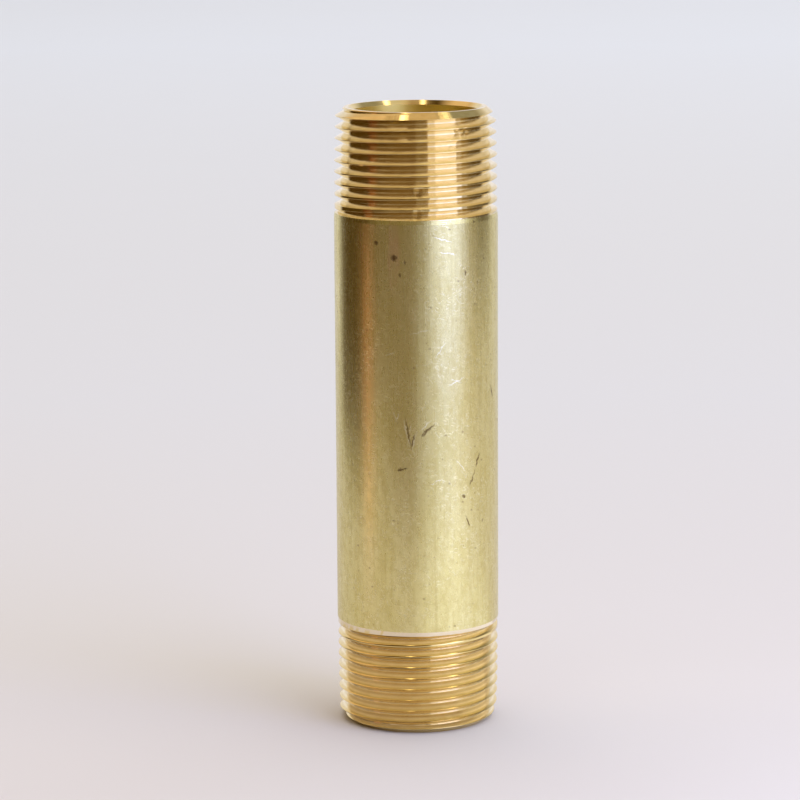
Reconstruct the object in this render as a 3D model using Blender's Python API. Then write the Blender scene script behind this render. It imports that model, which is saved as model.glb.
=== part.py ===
"""A 3/4 inch by 4 inch brass pipe nipple: one length of pipe with a taper pipe thread cut on each end.

The nipple is a single piece of metal. It stands on its lower end face with the bore upright, and the
origin is the centre of that face. Lengths are in metres and +Z is up.
"""

from math import cos, pi, radians, sin, tan

import bmesh
import bpy

# Pipe: nominal size 3/4, regular wall
OUTSIDE_DIAMETER = 0.02667
BORE_DIAMETER = 0.02088
LENGTH = 0.1016

# Taper pipe thread, 3/4-14: sixty degree form, taper of 1 in 16 on the diameter, right hand
THREADS_PER_INCH = 14
PITCH = 0.0254 / THREADS_PER_INCH
FLANK_ANGLE = radians(30)
PITCH_DIAMETER_AT_END = 0.024579
RADIUS_GAIN = 1 / 32
TRUNCATION = 0.05 * PITCH

# Each threaded end
LOWER_THREAD_LENGTH = 0.01724
UPPER_THREAD_LENGTH = 0.01776
LOWER_GROOVE_LENGTH = 0.0168
UPPER_GROOVE_LENGTH = 0.0173
LOWER_GROOVE_ANGLE = radians(13)
UPPER_GROOVE_ANGLE = radians(274.5)
RUN_OUT_TURNS = 0.5
SKIM_DEPTH = 0.0001
SHOULDER_BEVEL = 0.00068

# End faces
FACE_DIAMETER = 0.0231
END_CHAMFER_HEIGHT = 0.0012
BORE_CHAMFER_HEIGHT = 0.0007
BORE_CHAMFER_WIDTH = 0.00055

# Mesh
SEGMENTS = 40
MERGE_DISTANCE = 1e-6
CUTTER_CLEARANCE = 0.00002
CUTTER_HEADROOM = 0.0006
LEAD_IN_TURNS = 1
SHARP_ANGLE = radians(25)

# Sizes that follow from the ones above
SHARP_V_HEIGHT = PITCH / (2 * tan(FLANK_ANGLE))
THREAD_DEPTH = SHARP_V_HEIGHT - 2 * TRUNCATION
CREST_RADIUS_AT_END = (PITCH_DIAMETER_AT_END + THREAD_DEPTH) / 2
ROOT_RADIUS_AT_END = CREST_RADIUS_AT_END - THREAD_DEPTH
ROOT_WIDTH = 2 * TRUNCATION * tan(FLANK_ANGLE)
PIPE_RADIUS = OUTSIDE_DIAMETER / 2
BORE_RADIUS = BORE_DIAMETER / 2
FACE_RADIUS = FACE_DIAMETER / 2
SKIMMED_RADIUS = PIPE_RADIUS - SKIM_DEPTH


def clear_scene():
    for old in list(bpy.data.objects):
        bpy.data.objects.remove(old, do_unlink=True)


def brass():
    material = bpy.data.materials.new("brass")
    material.use_nodes = True
    shader = material.node_tree.nodes["Principled BSDF"]
    shader.inputs["Base Color"].default_value = (0.80, 0.60, 0.27, 1.0)
    shader.inputs["Metallic"].default_value = 1.0
    shader.inputs["Roughness"].default_value = 0.28
    return material


def threaded_end_outline(thread_length):
    """Outside of the turned blank, as (radius, distance from the end face), before the groove is cut."""
    chamfer_spread = CREST_RADIUS_AT_END - FACE_RADIUS
    chamfer_slope = chamfer_spread / END_CHAMFER_HEIGHT
    chamfer_end = chamfer_spread / (chamfer_slope - RADIUS_GAIN)
    taper_end = (SKIMMED_RADIUS - CREST_RADIUS_AT_END) / RADIUS_GAIN
    return [
        (FACE_RADIUS, 0.0),
        (CREST_RADIUS_AT_END + RADIUS_GAIN * chamfer_end, chamfer_end),
        (SKIMMED_RADIUS, taper_end),
        (SKIMMED_RADIUS, thread_length - SHOULDER_BEVEL),
        (PIPE_RADIUS, thread_length),
    ]


def pipe_outline():
    """Closed outline of the pipe's wall, as (radius, height): up the outside and down the bore."""
    outside = threaded_end_outline(LOWER_THREAD_LENGTH)
    upper_end = threaded_end_outline(UPPER_THREAD_LENGTH)
    outside += [(radius, LENGTH - distance) for radius, distance in reversed(upper_end)]
    mouth_radius = BORE_RADIUS + BORE_CHAMFER_WIDTH
    bore = [
        (mouth_radius, LENGTH),
        (BORE_RADIUS, LENGTH - BORE_CHAMFER_HEIGHT),
        (BORE_RADIUS, BORE_CHAMFER_HEIGHT),
        (mouth_radius, 0.0),
    ]
    return outside + bore


def add_object(name, form):
    mesh = bpy.data.meshes.new(name)
    bmesh.ops.recalc_face_normals(form, faces=form.faces)
    form.to_mesh(mesh)
    form.free()
    new_object = bpy.data.objects.new(name, mesh)
    bpy.context.scene.collection.objects.link(new_object)
    return new_object


def turned_pipe(name):
    """The plain pipe with its ends turned to the thread's taper."""
    form = bmesh.new()
    corners = [form.verts.new((radius, 0.0, height)) for radius, height in pipe_outline()]
    edges = [form.edges.new((corners[i - 1], corners[i])) for i in range(len(corners))]
    bmesh.ops.spin(
        form,
        geom=corners + edges,
        cent=(0, 0, 0),
        axis=(0, 0, 1),
        angle=2 * pi,
        steps=SEGMENTS,
        use_merge=True,
    )
    bmesh.ops.remove_doubles(form, verts=form.verts, dist=MERGE_DISTANCE)
    return add_object(name, form)


def groove_section(distance, lift):
    """Cross-section of the thread groove's cutter, as (radius, offset along the axis) round its outline."""
    root = ROOT_RADIUS_AT_END + RADIUS_GAIN * distance + lift
    flank_top = root + THREAD_DEPTH + CUTTER_CLEARANCE
    half_root = ROOT_WIDTH / 2
    half_top = half_root + (flank_top - root) * tan(FLANK_ANGLE)
    cutter_top = flank_top + CUTTER_HEADROOM
    return [
        (root, -half_root),
        (root, half_root),
        (flank_top, half_top),
        (cutter_top, half_top),
        (cutter_top, -half_top),
        (flank_top, -half_top),
    ]


def groove_cutter(name, groove_length, start_angle, end_height, direction):
    """Helical cutter that enters beyond the end face and lifts out of the metal at the shoulder.

    direction is 1 where the thread climbs from the lower end face and -1 where it goes down from the upper
    one. The angle turns the same way, which makes both threads right-handed.
    """
    groove_turns = groove_length / PITCH
    run_out_start = groove_turns - RUN_OUT_TURNS
    first_step = -LEAD_IN_TURNS * SEGMENTS
    last_step = round(groove_turns * SEGMENTS)
    full_lift = THREAD_DEPTH + CUTTER_CLEARANCE
    form = bmesh.new()
    sections = []
    for step in range(first_step, last_step + 1):
        turns = step / SEGMENTS
        distance = turns * PITCH
        lift = full_lift * max(0.0, (turns - run_out_start) / RUN_OUT_TURNS)
        angle = start_angle + direction * 2 * pi * turns
        section = []
        for radius, offset in groove_section(distance, lift):
            height = end_height + direction * (distance + offset)
            section.append(form.verts.new((radius * cos(angle), radius * sin(angle), height)))
        sections.append(section)
    corner_count = len(sections[0])
    for section, following in zip(sections, sections[1:]):
        for i in range(corner_count):
            j = (i + 1) % corner_count
            form.faces.new((section[i], section[j], following[j], following[i]))
    form.faces.new(sections[0])
    form.faces.new(sections[-1])
    cutter = add_object(name, form)
    cutter.hide_render = True
    cutter.display_type = "WIRE"
    return cutter


def cut(target, cutter):
    boolean = target.modifiers.new("cut " + cutter.name, "BOOLEAN")
    boolean.operation = "DIFFERENCE"
    boolean.solver = "EXACT"
    boolean.object = cutter


def threaded_nipple():
    nipple = turned_pipe("threaded_nipple")
    nipple.data.materials.append(brass())
    nipple.data.shade_smooth()
    nipple.data.set_sharp_from_angle(angle=SHARP_ANGLE)
    cut(nipple, groove_cutter("lower_groove_cutter", LOWER_GROOVE_LENGTH, LOWER_GROOVE_ANGLE, 0.0, 1))
    cut(nipple, groove_cutter("upper_groove_cutter", UPPER_GROOVE_LENGTH, UPPER_GROOVE_ANGLE, LENGTH, -1))
    return nipple


clear_scene()
threaded_nipple()
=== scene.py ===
"""Looks of the brass pipe nipple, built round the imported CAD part.

One detailed mesh stands for the CAD node threaded_nipple: a drawn pipe with a taper thread cut on each
end. Lengths are in metres, +Z is up, and the camera looks along +Y from the -Y side. Azimuths are
measured from the camera's side, growing towards +X.
"""

from collections import namedtuple
from math import atan2, cos, hypot, pi, radians, sin, tan

import bmesh
import bpy
import numpy as np
from mathutils import Matrix, Vector


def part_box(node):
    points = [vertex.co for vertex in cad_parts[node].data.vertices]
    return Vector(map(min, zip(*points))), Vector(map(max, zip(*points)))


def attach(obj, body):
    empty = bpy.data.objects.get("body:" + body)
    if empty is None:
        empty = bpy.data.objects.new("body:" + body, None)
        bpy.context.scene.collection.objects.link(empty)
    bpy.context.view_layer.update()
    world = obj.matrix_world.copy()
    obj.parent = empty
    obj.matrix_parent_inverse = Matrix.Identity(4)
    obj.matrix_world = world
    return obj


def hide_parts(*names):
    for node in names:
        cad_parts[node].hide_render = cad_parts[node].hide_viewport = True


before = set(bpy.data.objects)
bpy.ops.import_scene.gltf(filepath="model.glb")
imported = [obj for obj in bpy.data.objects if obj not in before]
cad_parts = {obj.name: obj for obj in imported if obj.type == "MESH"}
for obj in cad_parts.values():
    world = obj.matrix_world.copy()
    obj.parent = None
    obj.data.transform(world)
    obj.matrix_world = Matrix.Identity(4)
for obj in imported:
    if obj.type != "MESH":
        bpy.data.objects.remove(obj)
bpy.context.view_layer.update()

CAD_NODE = "threaded_nipple"
MILLIMETRE = 0.001

# Pipe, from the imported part
cad_low, cad_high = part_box(CAD_NODE)
PIPE_RADIUS = (cad_high.x - cad_low.x) / 2
LENGTH = cad_high.z - cad_low.z
BORE_RADIUS = 0.01044

# Taper pipe thread, 3/4-14
PITCH = 0.0254 / 14
FLANK_SLOPE = tan(radians(30))
PITCH_DIAMETER_AT_END = 0.024579
RADIUS_GAIN = 1 / 32
TRUNCATION = 0.05 * PITCH
THREAD_DEPTH = PITCH / (2 * FLANK_SLOPE) - 2 * TRUNCATION
CREST_RADIUS_AT_END = (PITCH_DIAMETER_AT_END + THREAD_DEPTH) / 2
ROOT_RADIUS_AT_END = CREST_RADIUS_AT_END - THREAD_DEPTH
HALF_ROOT = TRUNCATION * FLANK_SLOPE
RUN_OUT = 0.5 * PITCH

# Shoulders and end faces
SKIMMED_RADIUS = PIPE_RADIUS - 0.0001
SHOULDER_BEVEL = 0.00068
FACE_RADIUS = 0.01155
CHAMFER_END = 0.00124
BORE_CHAMFER_HEIGHT = 0.0007
BORE_CHAMFER_WIDTH = 0.00055

# The two ends. The upper one is described turned half a turn about X, so that it stands like the lower one.
CUT, DRAWN, BORE = range(3)
ThreadedEnd = namedtuple("ThreadedEnd", "length groove_length groove_angle upside_down shoulder rounding")
LOWER_END = ThreadedEnd(0.01724, 0.0168, radians(13), False, CUT, 0.00010)
UPPER_END = ThreadedEnd(0.01776, 0.0173, radians(-274.5), True, DRAWN, 0.00002)

# Small dents in the upper thread, as (azimuth in degrees, distance from the end face, reach, depth)
NICKS = [
    (-19, 0.0013, 0.00035, 0.00022),
    (-15, 0.0012, 0.00030, 0.00020),
    (-9, 0.0030, 0.00040, 0.00022),
    (-13, 0.0031, 0.00030, 0.00018),
    (-24, 0.0030, 0.00030, 0.00014),
    (2, 0.0124, 0.00040, 0.00022),
    (1, 0.0160, 0.00040, 0.00020),
    (28, 0.0048, 0.00035, 0.00018),
    (36, 0.0029, 0.00040, 0.00022),
    (43, 0.0031, 0.00030, 0.00022),
    (-40, 0.0085, 0.00030, 0.00014),
    (118, 0.0049, 0.00050, 0.00022),
    (171, 0.0104, 0.00040, 0.00018),
    (-137, 0.0067, 0.00045, 0.00022),
    (-96, 0.0140, 0.00040, 0.00018),
]

# Mesh. The groove has rows at these shares of its half width, and one more just short of its rounded crest.
COLUMNS = 240
ROWS_ON_FLANK = (0.03, 0.09, 0.53)
ROWS_ON_RING = 3
ROWS_ON_LONG_WALL = 24
HALVINGS = 30
MERGE_DISTANCE = 2e-7

# Groove depth that is stored on the shoulders; on a cut shoulder it picks a pale colour, a painted reflection
# of the floor
SHOULDER_DEPTH = -1.0


# ---------------------------------------------------------------- threads


def blank_radius(distance, end):
    """Outside radius of the turned end before its thread is cut."""
    taper_end = (SKIMMED_RADIUS - CREST_RADIUS_AT_END) / RADIUS_GAIN
    distances = [0, CHAMFER_END, taper_end, end.length - SHOULDER_BEVEL, end.length]
    chamfer_radius = CREST_RADIUS_AT_END + RADIUS_GAIN * CHAMFER_END
    radii = [FACE_RADIUS, chamfer_radius, SKIMMED_RADIUS, SKIMMED_RADIUS, PIPE_RADIUS]
    return np.interp(distance, distances, radii)


def groove_radius(centre, offset, end):
    """Radius of the groove's wall at an offset from its centre line, which is that far from the end face."""
    run_out = np.maximum(0, (centre - end.groove_length + RUN_OUT) / RUN_OUT)
    floor_radius = ROOT_RADIUS_AT_END + RADIUS_GAIN * centre + THREAD_DEPTH * run_out
    return floor_radius + np.maximum(0, np.abs(offset) - HALF_ROOT) / FLANK_SLOPE


def groove_half_width(centre, side, end):
    """Offset at which the groove's wall comes out of the blank, on one side of its centre line."""
    inside = np.zeros_like(centre)
    outside = np.full_like(centre, PITCH / 2)
    for _ in range(HALVINGS):
        middle = (inside + outside) / 2
        in_groove = groove_radius(centre, middle, end) < blank_radius(centre + side * middle, end)
        inside = np.where(in_groove, middle, inside)
        outside = np.where(in_groove, outside, middle)
    return inside


def thread_rows(end):
    """Distance from the end face of every row and column of the thread's helical mesh, and rows per turn.

    The rows go a few turns past both ends of the thread, to be clipped there.
    """
    turns = np.arange(-2, int(end.length / PITCH) + 4)[:, None]
    centre = PITCH * (turns + np.arange(COLUMNS) / COLUMNS - end.groove_angle / (2 * pi))
    near = groove_half_width(centre, -1, end)
    far = groove_half_width(centre, 1, end)
    rounding = np.minimum(end.rounding, (PITCH - near - far) / 3)
    shares = (*ROWS_ON_FLANK, 1 - 2 * end.rounding / PITCH)
    rows = [centre - near - rounding]
    rows += [centre - near * share for share in reversed(shares)]
    rows += [centre + far * share for share in shares]
    rows += [centre + far + rounding]
    return np.stack(rows, axis=1).reshape(-1, COLUMNS), len(rows)


def thread_radius(distance, angle, end):
    """Radius of the finished thread, and the depth of the groove there as a share of the full depth."""
    turns = distance / PITCH - (angle - end.groove_angle) / (2 * pi)
    offset = (turns - np.round(turns)) * PITCH
    blank = blank_radius(distance, end)
    radius = np.minimum(blank, groove_radius(distance - offset, offset, end))
    depth = (blank - radius) / THREAD_DEPTH
    if end.upside_down:
        azimuth = pi / 2 - angle
        radius = radius - nick_depth(distance, azimuth)
    return radius, depth


def nick_depth(distance, azimuth):
    """How far the nicks sink the surface."""
    total = np.zeros(np.broadcast(distance, azimuth).shape)
    for turn, place, reach, depth in NICKS:
        swing = np.remainder(azimuth - radians(turn) + pi, 2 * pi) - pi
        gap = np.hypot(swing * PIPE_RADIUS, distance - place) / reach
        total += depth * np.exp(-gap**2)
    return total


# ---------------------------------------------------------------- mesh


class Shell:
    """Collects the nipple's surface as grids of points, then welds them into one mesh."""

    def __init__(self):
        self.points = []
        self.depths = []
        self.faces = []
        self.zones = []
        self.materials = []
        self.zone = 0

    def add(self, radius, angle, height, material, depth=0.0, rows_per_turn=0, upside_down=False):
        """Adds a grid whose rows run round the pipe.

        In a helical grid the end of each row joins the start of the row rows_per_turn later.
        """
        first = sum(len(points) for points in self.points)
        shape = np.broadcast(radius, angle, height).shape
        side = -1 if upside_down else 1
        x = np.broadcast_to(radius * np.cos(angle), shape)
        y = np.broadcast_to(radius * np.sin(angle), shape) * side
        z = np.broadcast_to(height, shape)
        z = LENGTH - z if upside_down else z
        self.points.append(np.stack([x, y, z], axis=-1).reshape(-1, 3))
        self.depths.append(np.broadcast_to(depth, shape).reshape(-1))
        rows, columns = shape
        index = first + np.arange(rows * columns).reshape(rows, columns)
        following = np.roll(index, -1, axis=1)
        if rows_per_turn:
            following[:, -1] = np.roll(index[:, 0], -rows_per_turn)
            following[-rows_per_turn:, -1] = index[-1, 0]
        quads = np.stack([index[:-1], following[:-1], following[1:], index[1:]], axis=-1).reshape(-1, 4)
        self.faces.append(quads)
        self.zones.append(np.full(len(quads), self.zone))
        self.materials.append(np.full(len(quads), material))
        self.zone += 1

    def mesh(self, name):
        """One welded mesh, with sharp edges where two grids meet and the groove's depth on each point."""
        made = bpy.data.meshes.new(name)
        made.from_pydata(np.concatenate(self.points), [], np.concatenate(self.faces))
        made.polygons.foreach_set("material_index", np.concatenate(self.materials).astype(np.int32))
        depth = made.attributes.new("groove_depth", "FLOAT", "POINT")
        depth.data.foreach_set("value", np.concatenate(self.depths).astype(np.float32))
        zone = made.attributes.new("zone", "INT", "FACE")
        zone.data.foreach_set("value", np.concatenate(self.zones).astype(np.int32))
        form = bmesh.new()
        form.from_mesh(made)
        bmesh.ops.remove_doubles(form, verts=form.verts, dist=MERGE_DISTANCE)
        bmesh.ops.dissolve_degenerate(form, edges=form.edges, dist=MERGE_DISTANCE)
        zones = form.faces.layers.int["zone"]
        for face in form.faces:
            face.smooth = True
        for edge in form.edges:
            edge.smooth = len({face[zones] for face in edge.link_faces}) == 1
        form.to_mesh(made)
        form.free()
        set_even_normals(made)
        made.attributes.remove(made.attributes["zone"])
        return made


def set_even_normals(mesh):
    """Corner normals that follow the larger faces, so that each flank stays flat up to its rounded edges.

    Each face counts by the square of its area.
    """
    faces = len(mesh.polygons)
    normals = np.zeros(faces * 3)
    mesh.polygons.foreach_get("normal", normals)
    areas = np.zeros(faces)
    mesh.polygons.foreach_get("area", areas)
    zones = np.zeros(faces, int)
    mesh.attributes["zone"].data.foreach_get("value", zones)
    sizes = np.zeros(faces, int)
    mesh.polygons.foreach_get("loop_total", sizes)
    vertices = np.zeros(len(mesh.loops), int)
    mesh.loops.foreach_get("vertex_index", vertices)
    weighted = normals.reshape(-1, 3) * (areas / MILLIMETRE**2)[:, None] ** 2
    face_of_corner = np.repeat(np.arange(faces), sizes)
    group = vertices * (zones.max() + 1) + zones[face_of_corner]
    total = np.zeros((group.max() + 1, 3))
    np.add.at(total, group, weighted[face_of_corner])
    corner = total[group]
    corner /= np.linalg.norm(corner, axis=1)[:, None]
    mesh.normals_split_custom_set(corner)


def add_threaded_end(shell, end):
    """The chamfer, the thread and the shoulder of one end."""
    angle = 2 * pi * np.arange(COLUMNS) / COLUMNS
    rows, rows_per_turn = thread_rows(end)
    borders = [0, CHAMFER_END, end.length - SHOULDER_BEVEL, end.length]
    for low, high, material in zip(borders, borders[1:], (CUT, CUT, end.shoulder)):
        distance = np.clip(rows, low, high)
        radius, depth = thread_radius(distance, angle, end)
        depth = SHOULDER_DEPTH if high == end.length else depth
        shell.add(radius, angle, distance, material, depth, rows_per_turn, end.upside_down)


def add_end_face(shell, end):
    """The flat ring of one end, and the chamfer down into the bore."""
    angle = 2 * pi * np.arange(COLUMNS) / COLUMNS
    mouth = BORE_RADIUS + BORE_CHAMFER_WIDTH
    face = np.linspace(mouth, FACE_RADIUS, ROWS_ON_RING)[:, None]
    shell.add(face, angle, 0.0, CUT, upside_down=end.upside_down)
    down = np.linspace(1, 0, ROWS_ON_RING)[:, None]
    chamfer = mouth - BORE_CHAMFER_WIDTH * down
    shell.add(chamfer, angle, BORE_CHAMFER_HEIGHT * down, CUT, upside_down=end.upside_down)


def nipple_mesh():
    angle = 2 * pi * np.arange(COLUMNS) / COLUMNS
    shell = Shell()
    for end in (LOWER_END, UPPER_END):
        add_threaded_end(shell, end)
        add_end_face(shell, end)
    barrel = np.linspace(LOWER_END.length, LENGTH - UPPER_END.length, ROWS_ON_LONG_WALL)[:, None]
    shell.add(PIPE_RADIUS, angle, barrel, DRAWN)
    bore = np.linspace(LENGTH - BORE_CHAMFER_HEIGHT, BORE_CHAMFER_HEIGHT, ROWS_ON_LONG_WALL)[:, None]
    shell.add(BORE_RADIUS, angle, bore, BORE)
    return shell.mesh("nipple")


# ---------------------------------------------------------------- node helpers


# The Mix node's sockets for colours, which share their names with its other sockets
MIX_FIRST_COLOUR, MIX_SECOND_COLOUR, MIX_COLOUR_RESULT = 6, 7, 2


class Nodes:
    """Short calls that build one node tree. A value is another node's output, a number or a colour."""

    def __init__(self, tree):
        self.tree = tree

    def node(self, kind, **settings):
        made = self.tree.nodes.new(kind)
        for name, value in settings.items():
            setattr(made, name, value)
        return made

    def feed(self, socket, value):
        if isinstance(value, bpy.types.NodeSocket):
            self.tree.links.new(value, socket)
        else:
            socket.default_value = value

    def math(self, operation, *values):
        made = self.node("ShaderNodeMath", operation=operation)
        for socket, value in zip(made.inputs, values):
            self.feed(socket, value)
        return made.outputs[0]

    def vector(self, operation, *values):
        made = self.node("ShaderNodeVectorMath", operation=operation)
        for socket, value in zip(made.inputs, values):
            self.feed(socket, value)
        return made.outputs["Value" if operation in ("LENGTH", "DOT_PRODUCT") else "Vector"]

    def ramp(self, value, low, high, to_low=0.0, to_high=1.0):
        """Value carried from one range to another, held at the ends."""
        made = self.node("ShaderNodeMapRange")
        for name, number in (("Value", value), ("From Min", low), ("From Max", high)):
            self.feed(made.inputs[name], number)
        self.feed(made.inputs["To Min"], to_low)
        self.feed(made.inputs["To Max"], to_high)
        return made.outputs["Result"]

    def mix(self, share, first, second):
        """Colour that goes from the first to the second as share grows."""
        made = self.node("ShaderNodeMix", data_type="RGBA")
        self.feed(made.inputs["Factor"], share)
        self.feed(made.inputs[MIX_FIRST_COLOUR], first)
        self.feed(made.inputs[MIX_SECOND_COLOUR], second)
        return made.outputs[MIX_COLOUR_RESULT]

    def noise(self, vector, scale, detail=2.0, roughness=0.5):
        made = self.node("ShaderNodeTexNoise")
        self.feed(made.inputs["Vector"], vector)
        made.inputs["Scale"].default_value = scale
        made.inputs["Detail"].default_value = detail
        made.inputs["Roughness"].default_value = roughness
        return made.outputs["Fac"]

    def wander(self, vector, scale):
        """Smooth random vector, from -0.5 to 0.5 on each axis."""
        made = self.node("ShaderNodeTexNoise")
        self.feed(made.inputs["Vector"], vector)
        made.inputs["Scale"].default_value = scale
        return self.vector("SUBTRACT", made.outputs["Color"], (0.5, 0.5, 0.5))

    def position(self):
        """Place on the object, in millimetres."""
        place = self.node("ShaderNodeTexCoord").outputs["Object"]
        return self.vector("MULTIPLY", place, (1 / MILLIMETRE,) * 3)

    def unrolled(self, place, radius):
        """The pipe's surface laid flat: millimetres round the pipe from the camera's side, and height."""
        parts = self.node("ShaderNodeSeparateXYZ")
        self.feed(parts.inputs[0], place)
        angle = self.math("ARCTAN2", parts.outputs["X"], self.math("MULTIPLY", parts.outputs["Y"], -1.0))
        flat = self.node("ShaderNodeCombineXYZ")
        self.feed(flat.inputs["X"], self.math("MULTIPLY", angle, radius / MILLIMETRE))
        self.feed(flat.inputs["Y"], parts.outputs["Z"])
        return flat.outputs[0]

    def dashes(self, flat, turn, length, width, share):
        """Short strokes scattered at one slope, 1 on a stroke. Share is how many of the cells have one."""
        turned = self.node("ShaderNodeVectorRotate", rotation_type="Z_AXIS")
        self.feed(turned.inputs["Vector"], flat)
        turned.inputs["Angle"].default_value = turn
        squeezed = self.vector("MULTIPLY", turned.outputs[0], (1 / length, 1 / width, 1.0))
        cells = self.node("ShaderNodeTexVoronoi", voronoi_dimensions="2D")
        self.feed(cells.inputs["Vector"], squeezed)
        cells.inputs["Scale"].default_value = 1.0
        stroke = self.ramp(cells.outputs["Distance"], 0.12, 0.3, 1.0, 0.0)
        channels = self.node("ShaderNodeSeparateColor")
        self.feed(channels.inputs[0], cells.outputs["Color"])
        chosen = self.math("LESS_THAN", channels.outputs[0], share)
        return self.math("MULTIPLY", stroke, chosen)

    def strokes(self, flat, marks):
        """Tapered marks, each from a place to a place on the unrolled surface, 1 along their middles.

        The distance from the nearest mark is 1 on the mark's outline, and it starts beyond every mark.
        """
        nearest = 2.0
        for start, end, width in marks:
            run = end[0] - start[0]
            climb = end[1] - start[1]
            placed = self.node("ShaderNodeMapping", vector_type="TEXTURE")
            self.feed(placed.inputs["Vector"], flat)
            placed.inputs["Location"].default_value = ((start[0] + end[0]) / 2, (start[1] + end[1]) / 2, 0.0)
            placed.inputs["Rotation"].default_value = (0.0, 0.0, atan2(climb, run))
            placed.inputs["Scale"].default_value = ((hypot(run, climb) + width) / 2, width / 2, 1.0)
            nearest = self.math("MINIMUM", nearest, self.vector("LENGTH", placed.outputs[0]))
        return self.ramp(nearest, 0.6, 1.1, 1.0, 0.0)

    def largest(self, values):
        most = values[0]
        for value in values[1:]:
            most = self.math("MAXIMUM", most, value)
        return most

    def round_the_pipe(self):
        """Direction round the pipe's axis, for the brushed look."""
        return self.node("ShaderNodeTangent", direction_type="RADIAL", axis="Z").outputs["Tangent"]

    def bump(self, height, rise):
        """Surface normal for a height from 0 to 1 that stands for that rise in metres."""
        made = self.node("ShaderNodeBump")
        made.inputs["Distance"].default_value = rise
        self.feed(made.inputs["Height"], height)
        return made.outputs["Normal"]


def new_metal(name, colour, roughness):
    """A metal material with those plain values, its node helper and its shader."""
    material = bpy.data.materials.new(name)
    material.use_nodes = True
    shader = material.node_tree.nodes["Principled BSDF"]
    shader.inputs["Base Color"].default_value = (*colour, 1.0)
    shader.inputs["Metallic"].default_value = 1.0
    shader.inputs["Roughness"].default_value = roughness
    return material, Nodes(material.node_tree), shader


# ---------------------------------------------------------------- metals


def cut_brass():
    """Bright golden metal left by the threading and facing tools.

    The lower thread has painted shade halfway down its groove and a deeper gold on its crests, which is also
    painted shade, and a shoulder is paler, which is a painted reflection of the floor.
    """
    material, n, shader = new_metal("cut_brass", (0.87, 0.70, 0.40), 0.22)
    place = n.position()
    attribute = n.node("ShaderNodeAttribute", attribute_name="groove_depth")
    depth = attribute.outputs["Fac"]
    tone = n.noise(n.vector("MULTIPLY", place, (1.0, 1.0, 3.0)), 0.6, 3.0)
    crest = n.mix(n.ramp(tone, 0.35, 0.65), (0.83, 0.67, 0.33, 1), (0.77, 0.60, 0.27, 1))
    groove = n.mix(n.ramp(tone, 0.35, 0.65), (0.92, 0.79, 0.51, 1), (0.88, 0.74, 0.45, 1))
    colour = n.mix(n.ramp(depth, 0.25, 0.45), crest, groove)
    height = n.node("ShaderNodeSeparateXYZ")
    n.feed(height.inputs[0], place)
    lower_end = n.math("LESS_THAN", height.outputs["Z"], 0.5 * LENGTH / MILLIMETRE)
    # Painted shade: the lower thread's grooves are darkened halfway down, where the thread shades itself.
    painted_groove_shade = n.math("MULTIPLY", n.ramp(depth, 0.50, 0.65), n.ramp(depth, 0.85, 0.95, 0.3, 0.0))
    colour = n.mix(n.math("MULTIPLY", painted_groove_shade, lower_end), colour, (0.52, 0.34, 0.09, 1))
    # Painted shade: the lower crests get a deeper gold, which stands for their darker reflection of the
    # shaded floor near the base.
    painted_crest_shade = n.math("MULTIPLY", n.ramp(depth, 0.07, 0.13, 1.0, 0.0), lower_end)
    colour = n.mix(painted_crest_shade, colour, (0.80, 0.62, 0.26, 1))
    # Painted reflection: the cut shoulder is paler, which stands for its reflection of the pale floor.
    colour = n.mix(n.ramp(depth, SHOULDER_DEPTH, 0.0), (0.87, 0.75, 0.54, 1), colour)
    n.feed(shader.inputs["Base Color"], colour)
    chatter = n.noise(n.vector("MULTIPLY", place, (0.6, 0.6, 9.0)), 1.4, 3.0)
    n.feed(shader.inputs["Roughness"], n.ramp(chatter, 0.3, 0.7, 0.08, 0.13))
    shader.inputs["Anisotropic"].default_value = 0.8
    shader.inputs["Anisotropic Rotation"].default_value = 0.25
    n.feed(shader.inputs["Tangent"], n.round_the_pipe())
    n.feed(shader.inputs["Normal"], n.bump(chatter, 0.0000015))
    return material


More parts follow.
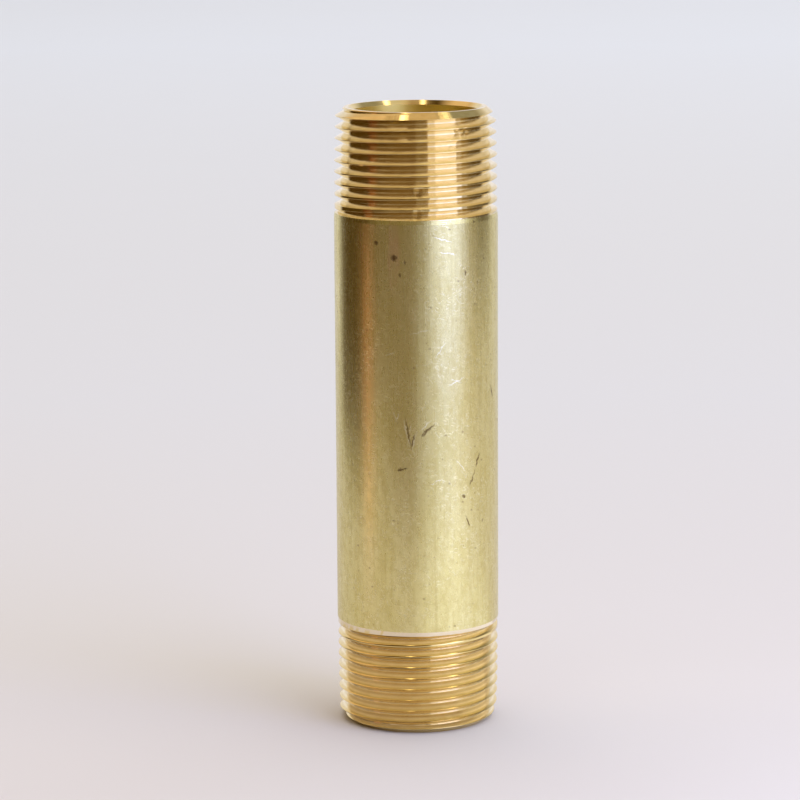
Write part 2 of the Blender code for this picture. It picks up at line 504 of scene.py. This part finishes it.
def drawn_brass():
    """The pipe's own skin: dull greenish brass with draw lines, fine scratches, specks and dark marks."""
    material, n, shader = new_metal("drawn_brass", (0.74, 0.65, 0.33), 0.34)
    place = n.position()
    flat = n.unrolled(place, PIPE_RADIUS)
    lines = n.noise(n.vector("MULTIPLY", place, (1.0, 1.0, 0.02)), 2.2, 4.0, 0.6)
    streaks = n.noise(n.vector("MULTIPLY", place, (1.0, 1.0, 0.15)), 0.9, 5.0, 0.6)
    mottle = n.noise(n.vector("MULTIPLY", place, (1.0, 1.0, 0.6)), 1.1, 4.0, 0.6)
    grain = n.noise(place, 5.0, 3.0, 0.6)
    cloud = n.noise(n.vector("MULTIPLY", place, (1.0, 1.0, 0.35)), 0.22, 3.0)
    scratched = n.ramp(n.noise(place, 0.16, 2.0), 0.42, 0.6, 0.25, 1.0)
    bright = n.largest([
        n.dashes(flat, radians(20), 1.5, 0.20, 0.16),
        n.dashes(flat, radians(-35), 1.2, 0.18, 0.14),
        n.dashes(flat, radians(3), 2.0, 0.20, 0.10),
        n.dashes(flat, radians(75), 1.0, 0.18, 0.12),
        n.dashes(flat, radians(55), 2.6, 0.22, 0.05),
    ])
    bright = n.math("MULTIPLY", bright, scratched)
    specks = n.largest([
        n.dashes(flat, radians(10), 1.0, 0.7, 0.010),
        n.dashes(flat, radians(80), 0.6, 0.4, 0.008),
    ])
    colour = n.mix(n.ramp(cloud, 0.35, 0.65), (0.80, 0.72, 0.35, 1), (0.75, 0.66, 0.28, 1))
    colour = n.mix(n.ramp(streaks, 0.35, 0.7, 0.0, 0.28), colour, (0.60, 0.49, 0.14, 1))
    colour = n.mix(n.ramp(lines, 0.52, 0.75, 0.0, 0.32), colour, (0.50, 0.40, 0.13, 1))
    colour = n.mix(n.ramp(mottle, 0.42, 0.70, 0.0, 0.35), colour, (0.52, 0.42, 0.12, 1))
    pores = n.noise(n.vector("MULTIPLY", place, (1.0, 1.0, 1.6)), 4.5, 2.0, 0.6)
    colour = n.mix(n.ramp(pores, 0.60, 0.72, 0.0, 0.35), colour, (0.42, 0.32, 0.10, 1))
    # Painted reflection: a pinkish streak up the barrel, for something pink beside the camera.
    painted_pink_reflection = n.strokes(flat, [((-3.7, 73.5), (-3.7, 84.5), 2.4)])
    painted_pink_reflection = n.math("MULTIPLY", painted_pink_reflection, n.ramp(streaks, 0.4, 0.6, 0.1, 0.5))
    colour = n.mix(painted_pink_reflection, colour, (0.88, 0.62, 0.42, 1))
    colour = n.mix(n.math("MULTIPLY", bright, 0.62), colour, (1.0, 0.94, 0.60, 1))
    colour = n.mix(n.math("MULTIPLY", specks, 0.5), colour, (0.20, 0.12, 0.05, 1))
    bent = n.vector("ADD", flat, n.vector("MULTIPLY", n.wander(place, 1.6), (0.7, 0.7, 0.0)))
    broken = n.ramp(n.noise(place, 3.5, 2.0), 0.36, 0.54, 0.55, 1.0)
    marks = n.math("MULTIPLY", dark_marks(n, bent), broken)
    glints = n.math("MULTIPLY", bright_marks(n, bent), broken)
    colour = n.mix(n.math("MULTIPLY", glints, 0.8), colour, (1.0, 0.97, 0.72, 1))
    colour = n.mix(n.math("MULTIPLY", marks, 0.9), colour, (0.13, 0.065, 0.02, 1))
    n.feed(shader.inputs["Base Color"], colour)
    line_roughness = n.ramp(lines, 0.3, 0.7, 0.25, 0.285)
    roughness = n.math("ADD", line_roughness, n.ramp(mottle, 0.3, 0.7, -0.03, 0.03))
    n.feed(shader.inputs["Roughness"], roughness)
    shader.inputs["Anisotropic"].default_value = 0.3
    n.feed(shader.inputs["Tangent"], n.round_the_pipe())
    relief = n.math("ADD", lines, n.math("MULTIPLY", grain, 0.3))
    relief = n.math("ADD", relief, n.math("MULTIPLY", mottle, 0.35))
    relief = n.math("SUBTRACT", relief, n.math("MULTIPLY", bright, 0.3))
    n.feed(shader.inputs["Normal"], n.bump(relief, 0.000014))
    return material


def dark_marks(n, flat):
    """The larger dents and gouges, each from a place to a place in millimetres round the pipe and up it."""
    gouges = [
        ((-3.6, 78.6), (-3.5, 78.5), 1.1),
        ((-6.7, 80.9), (-6.6, 80.8), 0.8),
        ((-1.8, 78.1), (-1.8, 77.7), 0.4),
        ((-2.6, 76.1), (-2.6, 75.7), 0.4),
        ((8.4, 76.1), (8.4, 75.6), 0.4),
        ((10.3, 84.0), (10.2, 84.0), 0.4),
        ((0.8, 49.9), (2.9, 51.7), 0.35),
        ((0.9, 49.9), (1.9, 50.9), 0.6),
        ((-1.9, 52.7), (-0.9, 47.6), 0.25),
        ((-0.9, 47.8), (-0.4, 50.2), 0.25),
        ((-2.9, 44.2), (-2.7, 44.2), 0.6),
        ((-2.7, 44.2), (-1.4, 44.5), 0.3),
        ((11.4, 46.0), (10.6, 44.0), 0.35),
        ((10.5, 43.6), (9.2, 40.9), 0.25),
        ((7.8, 39.5), (8.1, 39.3), 0.5),
        ((8.4, 36.0), (9.2, 34.3), 0.3),
        ((14.9, 56.8), (15.6, 54.6), 0.4),
    ]
    return n.strokes(flat, gouges)


def bright_marks(n, flat):
    """Fresh scratches, given like the dark ones."""
    scratches = [
        ((-3.9, 53.6), (-3.4, 52.1), 0.2),
        ((-3.4, 52.1), (-2.9, 53.5), 0.2),
        ((-2.2, 52.5), (-1.2, 48.0), 0.2),
        ((-0.7, 47.6), (-0.1, 50.6), 0.2),
        ((-1.5, 50.2), (-0.9, 51.4), 0.15),
        ((0.6, 50.6), (2.3, 52.3), 0.2),
        ((5.2, 57.7), (8.2, 59.0), 0.22),
        ((5.6, 58.8), (7.6, 58.1), 0.16),
        ((-1.0, 66.3), (1.9, 67.0), 0.18),
        ((2.6, 82.0), (6.1, 80.9), 0.2),
        ((3.6, 79.4), (6.6, 79.0), 0.2),
        ((3.1, 62.4), (4.6, 64.6), 0.18),
        ((-5.2, 62.8), (-3.4, 63.4), 0.16),
        ((6.6, 45.6), (8.4, 43.4), 0.18),
        ((1.9, 41.6), (4.2, 42.6), 0.16),
    ]
    return n.strokes(flat, scratches)


def bore_brass():
    """Inside of the pipe: darker drawn metal with lines along it."""
    material, n, shader = new_metal("bore_brass", (0.74, 0.54, 0.22), 0.30)
    place = n.position()
    lines = n.noise(n.vector("MULTIPLY", place, (1.0, 1.0, 0.02)), 1.8, 4.0, 0.6)
    cloud = n.noise(n.vector("MULTIPLY", place, (1.0, 1.0, 0.4)), 0.25, 3.0)
    n.feed(shader.inputs["Base Color"], n.mix(cloud, (1.0, 0.84, 0.28, 1), (1.0, 0.76, 0.18, 1)))
    n.feed(shader.inputs["Roughness"], n.ramp(lines, 0.3, 0.7, 0.36, 0.44))
    shader.inputs["Anisotropic"].default_value = 0.5
    shader.inputs["Anisotropic Rotation"].default_value = 0.25
    n.feed(shader.inputs["Tangent"], n.round_the_pipe())
    n.feed(shader.inputs["Normal"], n.bump(lines, 0.00001))
    return material


def nipple():
    """The one piece of metal, standing for its CAD node."""
    mesh = nipple_mesh()
    for material in (cut_brass(), drawn_brass(), bore_brass()):
        mesh.materials.append(material)
    piece = bpy.data.objects.new("nipple", mesh)
    bpy.context.scene.collection.objects.link(piece)
    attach(piece, "root")
    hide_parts(CAD_NODE)
    return piece


# ---------------------------------------------------------------- surroundings


def sheet(name, low, high, height, material):
    """A flat rectangle that is part of the stage."""
    form = bmesh.new()
    corners = [(low[0], low[1]), (high[0], low[1]), (high[0], high[1]), (low[0], high[1])]
    form.faces.new([form.verts.new((x, y, height)) for x, y in corners])
    mesh = bpy.data.meshes.new(name)
    form.to_mesh(mesh)
    form.free()
    mesh.materials.append(material)
    made = bpy.data.objects.new(name, mesh)
    bpy.context.scene.collection.objects.link(made)
    return made


def paper(name, left_tint, right_tint):
    """Pale matt paper, warm near the object and cooler far behind it, tinted left and right of the object."""
    material = bpy.data.materials.new(name)
    material.use_nodes = True
    n = Nodes(material.node_tree)
    shader = material.node_tree.nodes["Principled BSDF"]
    shader.inputs["Roughness"].default_value = 0.9
    shader.inputs["Specular IOR Level"].default_value = 0.1
    place = n.position()
    parts = n.node("ShaderNodeSeparateXYZ")
    n.feed(parts.inputs[0], place)
    near = n.mix(n.ramp(parts.outputs["Y"], -60.0, 300.0), (0.70, 0.675, 0.64, 1), (0.71, 0.735, 0.77, 1))
    far = n.mix(n.ramp(parts.outputs["Y"], 300.0, 1500.0), near, (0.77, 0.84, 0.94, 1))
    fibres = n.noise(place, 0.02, 3.0)
    tone = n.mix(n.math("MULTIPLY", fibres, 0.04), far, (0.70, 0.68, 0.66, 1))
    tint = n.mix(n.ramp(parts.outputs["X"], -4.0, 16.0), (*left_tint, 1), (*right_tint, 1))
    n.feed(shader.inputs["Base Color"], n.vector("MULTIPLY", tone, tint))
    return material


def show_in_reflections_only(piece):
    piece.visible_camera = False
    piece.visible_diffuse = False
    piece.visible_shadow = False


def floor():
    """The sheet of paper that the nipple stands on, and the pale floor round it.

    The brass shows the sheet, a lighter stretch of it at the front and right of the nipple (a painted pool of
    light) and, beyond the sheet towards the camera, a dimmer stretch of floor (painted shade).
    """
    plain = (1.0, 1.0, 1.0)
    # Paper tints: dim and fair darken the floor towards the camera as painted shade, and bright lightens the
    # patches as a painted pool of light.
    dim = (0.43, 0.37, 0.29)
    fair = (0.73, 0.74, 0.76)
    bright = (1.3, 1.37, 1.45)
    material = paper("paper", plain, plain)
    sheet("paper_sheet", (-0.23, -0.16), (0.5, 2.5), 0.0, material)
    surround = sheet("pale_floor", (-8.0, -8.0), (8.0, 8.0), -0.0004, material)
    surround.visible_glossy = False
    front = sheet("dim_floor", (-0.55, -0.9), (0.4, -0.16), -0.0002, paper("dim_paper", dim, fair))
    show_in_reflections_only(front)
    # Paper tinted brighter than the sheet: a painted pool of window light that only the brass shows.
    for name, low, high in (
        ("bright_floor_front", (-0.004, -0.12), (0.12, -0.0135)),
        ("bright_floor_right", (0.0136, -0.0135), (0.12, 0.03)),
    ):
        patch = sheet(name, low, high, 0.0001, paper(name, plain, bright))
        show_in_reflections_only(patch)


def sky_band(n, turn, stops):
    """Colours round the object at one height, as (azimuth in degrees, colour)."""
    band = n.node("ShaderNodeValToRGB")
    n.feed(band.inputs[0], turn)
    elements = band.color_ramp.elements
    while len(elements) < len(stops):
        elements.new(0.5)
    for element, (azimuth, colour) in zip(elements, stops):
        element.position = (azimuth + 180) / 360
        element.color = (*colour, 1.0)
    return band.outputs[0]


def room():
    """What stands round the object, for light and reflections, and the pale wall that the camera sees."""
    world = bpy.data.worlds.new("room")
    bpy.context.scene.world = world
    world.use_nodes = True
    tree = world.node_tree
    n = Nodes(tree)
    parts = n.node("ShaderNodeSeparateXYZ")
    n.feed(parts.inputs[0], n.node("ShaderNodeTexCoord").outputs["Generated"])
    turn = n.math("ARCTAN2", parts.outputs["X"], n.math("MULTIPLY", parts.outputs["Y"], -1.0))
    turn = n.ramp(turn, -pi, pi)
    rise = parts.outputs["Z"]
    wall = (0.92, 0.90, 0.94)
    dark = (0.085, 0.050, 0.010)
    strip = (0.15, 0.060, 0.022)
    haze = (0.30, 0.235, 0.125)
    side = (0.30, 0.23, 0.12)
    dim = (0.13, 0.10, 0.06)
    lamp_side = (0.92, 0.68, 0.45)
    glow = (0.78, 0.74, 0.66)
    grey = (0.36, 0.35, 0.30)
    behind = (0.64, 0.52, 0.38)
    ceiling = (0.74, 0.56, 0.36)
    low = sky_band(n, turn, [
        (-136, wall), (-127, dark), (-84, dark), (-76, strip), (-68, strip), (-60, dark),
        (12, dark), (20, side), (80, side), (98, dim), (122, dim), (133, wall),
    ])
    middle = sky_band(n, turn, [
        (-136, wall), (-127, dark), (-75, dark), (-55, haze), (12, haze), (30, glow), (82, glow), (98, dim),
        (122, dim), (133, wall),
    ])
    high = sky_band(n, turn, [
        (-180, behind), (-140, lamp_side), (-100, lamp_side), (-70, dark), (12, dark), (30, glow), (82, glow),
        (100, grey), (140, grey), (180, behind),
    ])
    sky = low
    for start, end, above in ((1, 6, middle), (20, 35, high), (66, 74, (*ceiling, 1.0))):
        sky = n.mix(n.ramp(rise, sin(radians(start)), sin(radians(end))), sky, above)
    seen = n.mix(n.ramp(rise, 0.0, 0.5), (0.74, 0.76, 0.83, 1), (0.72, 0.75, 0.86, 1))
    camera_ray = n.node("ShaderNodeLightPath").outputs["Is Camera Ray"]
    background = tree.nodes["Background"]
    n.feed(background.inputs["Color"], n.mix(camera_ray, sky, seen))
    background.inputs["Strength"].default_value = 1.0


def level_at_axis(location):
    """Rotation of a light that looks level from its place to the nipple's axis."""
    return Vector((-location[0], -location[1], 0.0)).to_track_quat("-Z", "Y")


def straight_down(turn=0.0):
    """Rotation of a light that looks down, with its rectangle turned by that angle."""
    return Matrix.Rotation(turn, 3, "Z").to_quaternion()


def panel(name, location, rotation, width, height, radiance):
    """A rectangle of light. A radiance of 1 shows as white."""
    data = bpy.data.lights.new(name, "AREA")
    data.shape = "RECTANGLE"
    data.size = width
    data.size_y = height
    data.energy = pi * width * height * max(radiance)
    data.color = [value / max(radiance) for value in radiance]
    light = bpy.data.objects.new(name, data)
    light.location = location
    light.rotation_mode = "QUATERNION"
    light.rotation_quaternion = rotation
    light.visible_camera = False
    bpy.context.scene.collection.objects.link(light)
    return light


def softbox(name, from_azimuth, to_azimuth, radiance):
    """Part of the tall softbox that stands on the floor to the right of the camera."""
    distance = 0.45
    height = 0.6
    azimuth = radians(from_azimuth + to_azimuth) / 2
    width = 2 * distance * tan(radians(to_azimuth - from_azimuth) / 2)
    place = (distance * sin(azimuth), -distance * cos(azimuth), height / 2)
    panel(name, place, level_at_axis(place), width, height, radiance)


def ceiling_lamp(name, x, y, width, length, turn):
    """A long lamp that hangs above the object, and the wider and dimmer glow round it."""
    rotation = straight_down(turn)
    panel(name, (x, y, 1.0), rotation, width, length, (1.5, 1.38, 1.05))
    panel(name + "_glow", (x, y, 1.01), rotation, 2.25 * width, 1.1 * length, (1.05, 0.90, 0.63))


def lights():
    """The window with its dimmer edges, two ceiling lamps that show in the chamfers, and two floor lights.

    A low warm card stands to the left and shows as a brown streak up the barrel.
    """
    softbox("window", 31, 67, (1.12, 1.36, 2.9))
    softbox("window_near_edge", 19, 31, (0.66, 0.79, 1.5))
    softbox("window_far_edge", 67, 76, (0.25, 0.30, 0.55))
    ceiling_lamp("left_lamp", -0.145, -0.10, 0.06, 0.50, 0.0)
    ceiling_lamp("right_lamp", 0.47, 0.03, 0.084, 0.40, radians(38))
    card_place = (-0.151, -0.055, 0.03)
    card = panel("warm_card", card_place, level_at_axis(card_place), 0.034, 0.06, (0.46, 0.23, 0.15))
    card.visible_diffuse = False
    pool_rotation = straight_down(radians(45))
    pool = panel("floor_pool", (0.135, -0.135, 0.05), pool_rotation, 0.20, 0.15, (0.55, 0.66, 1.05))
    pool.visible_glossy = False
    wash = panel("floor_wash", (1.2, 1.0, 2.4), straight_down(), 5.0, 5.0, (0.90, 0.93, 1.05))
    wash.visible_glossy = False


def camera():
    """Long lens on the camera's side, looking slightly down."""
    data = bpy.data.cameras.new("camera")
    data.sensor_width = 36.0
    data.lens = 151.6
    data.clip_start = 0.01
    data.clip_end = 50.0
    made = bpy.data.objects.new("camera", data)
    bpy.context.scene.collection.objects.link(made)
    place = Matrix.Translation((0.0, -0.5448, 0.1517))
    turn = Matrix.Rotation(radians(0.291), 4, "Z")
    tilt = Matrix.Rotation(radians(90 - 10.24), 4, "X")
    roll = Matrix.Rotation(radians(-0.346), 4, "Z")
    made.matrix_world = place @ turn @ tilt @ roll
    bpy.context.scene.camera = made


nipple()
floor()
room()
lights()
camera()
bpy.context.scene.view_settings.view_transform = "Standard"
